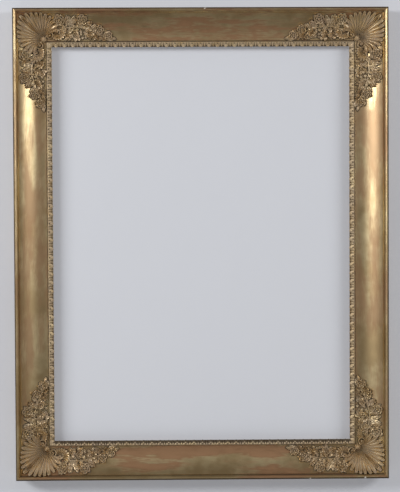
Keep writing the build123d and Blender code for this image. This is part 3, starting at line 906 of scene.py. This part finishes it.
def ring_path():
    """Middle line of the ring's wire: a straight leg in the eye, two sides and a round bow."""
    low, high = (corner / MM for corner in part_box("hanger_ring"))
    depth = (low.y + high.y) / 2
    radius = (high.x - low.x - RING_WIRE) / 2
    leg = low.z + RING_WIRE / 2
    spring = high.z - RING_WIRE / 2 - radius
    foot = radius - RING_CORNER
    side = np.linspace(leg + RING_CORNER, spring, 5)[1:-1]

    def arc(across, up, size, turns):
        return [(across + size * math.cos(turn), depth, up + size * math.sin(turn)) for turn in turns]

    return [
        *((across, depth, leg) for across in np.linspace(-foot, foot, 11)),
        *arc(foot, leg + RING_CORNER, RING_CORNER, np.linspace(-math.pi / 2, 0, 6)[1:]),
        *((radius, depth, up) for up in side),
        *arc(0, spring, radius, np.linspace(0, math.pi, 25)),
        *((-radius, depth, up) for up in side[::-1]),
        *arc(-foot, leg + RING_CORNER, RING_CORNER, np.linspace(math.pi, 1.5 * math.pi, 6)[:-1]),
    ]


def slotted_screw(shell, centre, turned_by, radius, crown, slot, shank_radius, sunk):
    """Screw head in two half domes parted by a slot, over a disc, with its shank. It faces the wall."""

    def circle(size, depth, turn):
        return np.stack(
            (
                centre[0] + size * np.cos(turn),
                np.full(len(turn), centre[1] + depth),
                centre[2] + size * np.sin(turn),
            ),
            axis=-1,
        )

    for half in (0, 1):
        rows = []
        for level, size in ((0.0, 1.0), (0.35, 1.0), (0.7, 0.86), (0.92, 0.6), (1.0, 0.3)):
            reach = max(radius * size, slot)
            first = math.asin(slot / 2 / reach)
            turn = np.linspace(first, math.pi - first, 15) + half * math.pi + turned_by
            rows.append(circle(reach, crown * level, turn))
        shell.tube(np.array(rows), 0.8)
    around = np.linspace(0, 2 * math.pi, 28, endpoint=False)
    for size, low, high in ((radius, -sunk, 0.05), (shank_radius, -SHANK_LENGTH, 0.02 - sunk)):
        shell.tube(np.array([circle(size, depth, around) for depth in (low, high)]), 0.4)


# ---- Settings

def tint(name, description, colour):
    """Colour property."""
    return bpy.props.FloatVectorProperty(
        name=name, description=description, subtype="COLOR", size=3, default=colour
    )


def power(name, description, watts):
    """Property for the power of a light."""
    return bpy.props.FloatProperty(
        name=name, description=description, unit="POWER", min=0.0, default=watts
    )


class FrameSizes(bpy.types.PropertyGroup):
    leaf_pitch: bpy.props.FloatProperty(
        name="Leaf pitch",
        description="Length of sight edge that one leaf of the edging takes",
        default=0.025,
        min=0.01,
        unit="LENGTH",
    )
    leaf_steps: bpy.props.IntProperty(
        name="Leaf steps",
        description="Columns of faces along each leaf of the edging",
        default=16,
        min=8,
        max=40,
    )


class FrameColours(bpy.types.PropertyGroup):
    gold_pale: tint("Pale gold", "Gold leaf where it is clean", (0.785, 0.65, 0.392))
    gold_deep: tint("Deep gold", "Gold leaf where it has toned down", (0.59, 0.44, 0.24))
    thin_leaf: tint("Thin leaf", "Gold worn so thin that the bole shows through", (0.40, 0.235, 0.13))
    dust: tint("Dust", "Dust and old size on the castings", (0.60, 0.475, 0.35))
    bole: tint("Bole", "Red clay under the leaf", (0.25, 0.14, 0.09))
    # The grime colour also paints shade in the hollows and round the castings
    grime_and_shade: tint("Grime", "Dirt held in the hollows", (0.055, 0.036, 0.018))
    gesso: tint("Gesso", "White ground laid bare by a chip", (0.78, 0.75, 0.68))
    pine_pale: tint("Pine", "Early wood of the back frame", (0.44, 0.27, 0.13))
    pine_dark: tint("Pine grain", "Late wood of the back frame", (0.22, 0.115, 0.048))
    wood_grime: tint("Wood grime", "Dust and handling on the back", (0.12, 0.085, 0.055))
    beech_pale: tint("Beech", "Wood of the keys", (0.42, 0.25, 0.13))
    beech_dark: tint("Beech fleck", "Flecks in the wood of the keys", (0.26, 0.14, 0.065))
    brass: tint("Brass", "Turn buttons where they are rubbed", (0.62, 0.44, 0.17))
    brass_dull: tint("Dull brass", "Turn buttons where they have toned", (0.22, 0.15, 0.06))
    verdigris: tint("Verdigris", "Spots on the turn buttons", (0.07, 0.09, 0.05))
    iron: tint("Iron", "Ring and plate where they are rubbed", (0.16, 0.15, 0.14))
    iron_dull: tint("Dark iron", "Ring and plate where they are black", (0.035, 0.032, 0.03))
    steel: tint("Steel", "Screws where they are rubbed", (0.42, 0.41, 0.39))
    steel_dull: tint("Dull steel", "Screws where they have toned", (0.16, 0.15, 0.14))
    rust: tint("Rust", "Spots on the iron and steel", (0.16, 0.055, 0.02))


class StudioSettings(bpy.types.PropertyGroup):
    wall: tint("Wall", "Paint of the wall", (0.83, 0.87, 0.96))
    wall_glow: tint("Wall glow", "Colour that the wall shows to the camera in shadow", (0.54, 0.56, 0.615))
    floor: tint("Floor", "Paint of the floor", (0.66, 0.65, 0.64))
    lamp: tint("Lamp", "Colour of the three lights", (1.0, 0.98, 0.95))
    room_tint: tint("Room colour", "Colour of the even light all round", (1.0, 0.95, 0.88))
    left_power: power("Left light", "Power of the softbox on the left", 104.0)
    right_power: power("Right light", "Power of the softbox on the right", 62.0)
    back_power: power("Back light", "Power of the light behind the wall", 40.0)
    room: bpy.props.FloatProperty(
        name="Room", description="Strength of the even light all round", default=0.17, min=0.0
    )
    camera_away: bpy.props.FloatProperty(
        name="Camera distance", description="From the wall to the lens", default=4.4, unit="LENGTH"
    )
    lens: bpy.props.FloatProperty(
        name="Lens", description="Focal length on a sensor 36 mm wide", default=134.36, unit="CAMERA"
    )


# ---- Finishing

# Chips that bare the gesso: place and radius, in metres
RAIL_CHIPS = {
    "bottom": (((0.474, -0.077, -1.3695), 0.0042), ((0.313, -0.077, -1.3705), 0.0035)),
    "top": (((0.0125, -0.077, -0.003), 0.0034),),
}
SPRAY_CHIPS = (((0.457, -0.05, -1.1875), 0.006),)
# How dirty and how thinly gilded each rail is, and how dirty and dusty its edging; the extra darkening of
# the top and bottom rails and of the bottom edging is painted shade
RAIL_DIRT_AND_SHADE = {"top": 1.22, "bottom": 1.52}
RAIL_THINNED = {"top": 1.3, "bottom": 1.55}
EDGING_DIRT_AND_SHADE = {"bottom": (1.7, 1.0)}


def dress(piece, node, material, body="root"):
    """Puts a new piece in a CAD node's place, with its finish."""
    piece.data.materials.append(material)
    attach(piece, body)
    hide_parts(node)


def soften(node, width, material):
    """Finish and eased arrises for a CAD node that is shown as it is."""
    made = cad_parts[node]
    made.data.materials.clear()
    made.data.materials.append(material)
    weld = made.modifiers.new("join", "WELD")
    weld.merge_threshold = 0.01 * MM
    plain = made.modifiers.new("plain", "DECIMATE")
    plain.decimate_type = "DISSOLVE"
    plain.angle_limit = math.radians(0.5)
    ease = made.modifiers.new("ease", "BEVEL")
    ease.width = width * MM
    ease.segments = 2
    ease.limit_method = "ANGLE"
    ease.angle_limit = math.radians(35)
    even = made.modifiers.new("even", "WEIGHTED_NORMAL")
    even.weight = 100


class FRAME_OT_mouldings(bpy.types.Operator):
    """Make the four gilded mouldings"""

    bl_idname = "cove_frame.mouldings"
    bl_label = "Mouldings"

    def execute(self, context):
        for side in SIDES:
            material = gilt(
                "burnished_gilt_" + side,
                context.scene.cove_colours,
                rough=0.36,
                dirt_and_shade=RAIL_DIRT_AND_SHADE.get(side, 1.0),
                rub=0.7,
                mottle=0.2,
                thinned=RAIL_THINNED.get(side, 0.75),
                along="x" if side in LEVEL_SIDES else "z",
                chips=RAIL_CHIPS.get(side, ()),
            )
            dress(rail_piece(side), "moulding_" + side, material)
        return {"FINISHED"}


class FRAME_OT_edging(bpy.types.Operator):
    """Make the leaf-tip edging of the sight edge"""

    bl_idname = "cove_frame.edging"
    bl_label = "Leaf-tip edging"

    def execute(self, context):
        for side in SIDES:
            dirt_and_shade, dust = EDGING_DIRT_AND_SHADE.get(side, (1.55, 0.8))
            material = gilt("edging_gilt_" + side, context.scene.cove_colours, 0.58, dirt_and_shade, dust)
            piece = edging_piece(side, context.scene.cove_sizes)
            dress(piece, "leaf_edging_" + side, material)
        return {"FINISHED"}


class FRAME_OT_palmettes(bpy.types.Operator):
    """Make the palmette of each corner"""

    bl_idname = "cove_frame.palmettes"
    bl_label = "Palmettes"

    def execute(self, context):
        material = gilt("palmette_gilt", context.scene.cove_colours, rough=0.46, dirt_and_shade=1.05, dust=0.8)
        for seed, (name, corner) in enumerate(CORNERS.items()):
            piece = palmette_piece("palmette_cast_" + name, corner, seed)
            dress(piece, "palmette_" + name, material)
        return {"FINISHED"}


class FRAME_OT_sprays(bpy.types.Operator):
    """Make the two flower sprays of each corner"""

    bl_idname = "cove_frame.sprays"
    bl_label = "Flower sprays"

    def execute(self, context):
        colours = context.scene.cove_colours
        material = gilt("spray_gilt", colours, rough=0.44, dirt_and_shade=1.35, dust=0.8, chips=SPRAY_CHIPS)
        for seed, (name, corner) in enumerate(CORNERS.items()):
            for way, swapped in (("upright", False), ("level", True)):
                piece = spray_piece(f"spray_cast_{name}_{way}", corner, swapped, 10 + 2 * seed + swapped)
                dress(piece, f"spray_{name}_{way}", material)
        return {"FINISHED"}


class FRAME_OT_back_frame(bpy.types.Operator):
    """Finish the pine back frame and its keys"""

    bl_idname = "cove_frame.back_frame"
    bl_label = "Back frame"

    def execute(self, context):
        colours = context.scene.cove_colours
        level = pine("pine_level", colours, "x")
        upright = pine("pine_upright", colours, "z")
        keys = beech("beech_keys", colours)
        for side in SIDES:
            soften("chassis_" + side, 0.7, level if side in LEVEL_SIDES else upright)
        for name in CORNERS:
            soften("corner_key_" + name, 0.25, keys)
        return {"FINISHED"}


class FRAME_OT_hanger(bpy.types.Operator):
    """Make the hanging ring, and finish its plate and screws"""

    bl_idname = "cove_frame.hanger"
    bl_label = "Hanger"

    def execute(self, context):
        colours = context.scene.cove_colours
        iron = old_metal("dark_iron", colours.iron, colours.iron_dull, colours.rust, 0.42, 0.9)
        soften("hanger_plate", 0.3, iron)
        dress(swept_ring("wire_ring", ring_path(), RING_WIRE / 2), "hanger_ring", iron, "ring")
        steel = old_metal("screw_steel", colours.steel, colours.steel_dull, colours.rust, 0.38, 0.8)
        shell = Shell()
        low, high = (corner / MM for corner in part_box("hanger_screws"))
        radius = PLATE_SCREW_RADIUS
        for across, turned_by in ((low.x + radius, 0.5), (high.x - radius, 1.9)):
            centre = (across, high.y - 0.95, (low.z + high.z) / 2)
            slotted_screw(shell, centre, turned_by, radius - 0.15, 0.9, 1.1, 1.5, sunk=0.6)
        dress(shell.piece("hanger_screw_heads", 35.0), "hanger_screws", steel)
        return {"FINISHED"}


class FRAME_OT_buttons(bpy.types.Operator):
    """Finish the turn buttons and make their screws"""

    bl_idname = "cove_frame.buttons"
    bl_label = "Turn buttons"

    def execute(self, context):
        colours = context.scene.cove_colours
        brass = old_metal("dull_brass", colours.brass, colours.brass_dull, colours.verdigris, 0.34, 0.75)
        for side in SIDES:
            soften("turn_button_" + side, 0.35, brass)
        steel = old_metal("button_screw_steel", colours.steel, colours.steel_dull, colours.rust, 0.38, 0.8)
        low, high = (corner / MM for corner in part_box("button_screws"))
        radius = BUTTON_SCREW_RADIUS
        middle = (low.z + high.z) / 2
        shell = Shell()
        for i, (across, up) in enumerate(
            ((0, high.z - radius), (high.x - radius, middle), (0, low.z + radius), (low.x + radius, middle))
        ):
            centre = (across, high.y - 2.08, up)
            slotted_screw(shell, centre, 0.3 + 0.9 * i, radius - 0.1, 2.03, 1.3, 1.95, sunk=0.0)
        dress(shell.piece("button_screw_heads", 35.0), "button_screws", steel)
        return {"FINISHED"}


# ---- Studio, in metres

WALL_PLANE = 0.0012
WALL_HALF = 3.0
WALL_TOP = 2.4
FLOOR_LEVEL = -2.2
FLOOR_HALF = 8.0
FLOOR_FRONT = -9.0
FLOOR_BACK = 8.0
GLOW_SHARE = 0.25
WINDOW_OUT = 3.3
WINDOW_AWAY = -2.8
WINDOW_UP = 0.5
WINDOW_AIM_ACROSS = 0.2
WINDOW_AIM_UP = -0.5
WINDOW_SIZE = (2.6, 0.9)
REAR_PLACE = (0.6, 3.0, 0.4)
REAR_AIM = (0.0, 0.0, -0.62)
REAR_SIZE = (3.0, 2.0)
CAMERA_ACROSS = -0.0613
CAMERA_UP = -0.5567
CAMERA_TURNS = ((-0.0130, "Z"), (-0.0309, "X"), (0.0049, "Y"))  # radians


def oblong(half, low, high):
    """Corners of an oblong, in order round it."""
    return (-half, low), (half, low), (half, high), (-half, high)


def flat_sheet(name, points, material):
    """Stage sheet of one face."""
    mesh = bpy.data.meshes.new(name)
    mesh.from_pydata(points, [], [tuple(range(len(points)))])
    sheet = bpy.data.objects.new(name, mesh)
    bpy.context.scene.collection.objects.link(sheet)
    sheet.data.materials.append(material)
    return sheet


def wall_paint(studio):
    """Paint that lightens its shadows for the camera alone, and is clear from behind."""
    paint = Finish("wall_paint")
    mottle = paint.cloud(paint.place(), 3.0, 3.0)
    coat = paint.between(studio.wall, [c * 0.97 for c in studio.wall], mottle)
    face = paint.node("ShaderNodeBsdfDiffuse", None, {"Color": coat})
    glow = paint.node("ShaderNodeEmission", None, {"Color": studio.wall_glow, "Strength": 1.0})
    seen = Tone(paint, paint.node("ShaderNodeLightPath").outputs["Is Camera Ray"]) * GLOW_SHARE
    values = {0: seen, 1: face.outputs[0], 2: glow.outputs[0]}
    face = paint.node("ShaderNodeMixShader", None, values)
    clear = paint.node("ShaderNodeBsdfTransparent")
    behind = paint.node("ShaderNodeNewGeometry").outputs["Backfacing"]
    values = {0: behind, 1: face.outputs[0], 2: clear.outputs[0]}
    both = paint.node("ShaderNodeMixShader", None, values)
    paint.node("ShaderNodeOutputMaterial", None, {"Surface": both.outputs[0]})
    return paint.material


def softbox(name, place, target, size, watts, colour):
    """Large even light, turned to face a point."""
    data = bpy.data.lights.new(name, "AREA")
    data.shape = "RECTANGLE"
    data.size, data.size_y = size
    data.energy = watts
    data.color = colour
    lamp = bpy.data.objects.new(name, data)
    lamp.location = place
    lamp.rotation_euler = (Vector(target) - Vector(place)).to_track_quat("-Z", "Y").to_euler()
    lamp.visible_camera = False
    bpy.context.scene.collection.objects.link(lamp)


class FRAME_OT_studio(bpy.types.Operator):
    """Set up the wall, floor, lights and camera"""

    bl_idname = "cove_frame.studio"
    bl_label = "Studio"

    def execute(self, context):
        scene = context.scene
        studio = scene.cove_studio
        corners = oblong(WALL_HALF, FLOOR_LEVEL, WALL_TOP)
        wall = flat_sheet("wall", [(x, WALL_PLANE, z) for x, z in corners], wall_paint(studio))
        wall.visible_shadow = False
        wall.visible_diffuse = False
        wall.visible_glossy = False
        ground = Finish("floor_paint")
        speck = ground.cloud(ground.place(), 2.0, 3.0)
        tone = ground.between(studio.floor, [c * 0.96 for c in studio.floor], speck)
        ground.surface({"Base Color": tone, "Roughness": 0.7})
        corners = oblong(FLOOR_HALF, FLOOR_FRONT, FLOOR_BACK)
        floor = flat_sheet("floor", [(x, y, FLOOR_LEVEL) for x, y in corners], ground.material)
        floor.visible_glossy = False

        world = bpy.data.worlds.new("room")
        scene.world = world
        world.use_nodes = True
        back = world.node_tree.nodes["Background"]
        back.inputs["Color"].default_value = (*studio.room_tint, 1.0)
        back.inputs["Strength"].default_value = studio.room

        windows = (("left_window", -1, studio.left_power), ("right_window", 1, studio.right_power))
        for name, side, watts in windows:
            place = (side * WINDOW_OUT, WINDOW_AWAY, WINDOW_UP)
            aim = (-side * WINDOW_AIM_ACROSS, 0.0, WINDOW_AIM_UP)
            softbox(name, place, aim, WINDOW_SIZE, watts, studio.lamp)
        softbox("rear_fill", REAR_PLACE, REAR_AIM, REAR_SIZE, studio.back_power, studio.lamp)

        data = bpy.data.cameras.new("camera")
        data.sensor_fit = "HORIZONTAL"
        data.sensor_width = 36.0
        data.lens = studio.lens
        camera = bpy.data.objects.new("camera", data)
        yaw, pitch, roll = (Matrix.Rotation(angle, 3, axis) for angle, axis in CAMERA_TURNS)
        right, forward, up = (yaw @ pitch @ roll).col
        matrix = Matrix((right, up, -forward)).transposed().to_4x4()
        matrix.translation = (CAMERA_ACROSS, -studio.camera_away, CAMERA_UP)
        camera.matrix_world = matrix
        scene.collection.objects.link(camera)
        scene.camera = camera
        scene.view_settings.view_transform = "Standard"
        return {"FINISHED"}


class FRAME_PT_panel(bpy.types.Panel):
    bl_label = "Gilded cove frame"
    bl_idname = "FRAME_PT_panel"
    bl_space_type = "VIEW_3D"
    bl_region_type = "UI"
    bl_category = "Frame"

    def draw(self, context):
        for operator in OPERATORS:
            self.layout.operator(operator.bl_idname)
        for name, kind in GROUPS.items():
            box = self.layout.box()
            for key in kind.__annotations__:
                box.prop(getattr(context.scene, name), key)


GROUPS = {"cove_sizes": FrameSizes, "cove_colours": FrameColours, "cove_studio": StudioSettings}
OPERATORS = (
    FRAME_OT_mouldings,
    FRAME_OT_edging,
    FRAME_OT_palmettes,
    FRAME_OT_sprays,
    FRAME_OT_back_frame,
    FRAME_OT_hanger,
    FRAME_OT_buttons,
    FRAME_OT_studio,
)


def register():
    for made in (*GROUPS.values(), *OPERATORS, FRAME_PT_panel):
        bpy.utils.register_class(made)
    for name, group in GROUPS.items():
        setattr(bpy.types.Scene, name, bpy.props.PointerProperty(type=group))


def unregister():
    for name in GROUPS:
        delattr(bpy.types.Scene, name)
    for made in (FRAME_PT_panel, *OPERATORS[::-1], *reversed(GROUPS.values())):
        bpy.utils.unregister_class(made)


def main():
    register()
    for operator in OPERATORS:
        getattr(bpy.ops.cove_frame, operator.bl_idname.split(".")[1])()


if __name__ == "__main__":
    main()
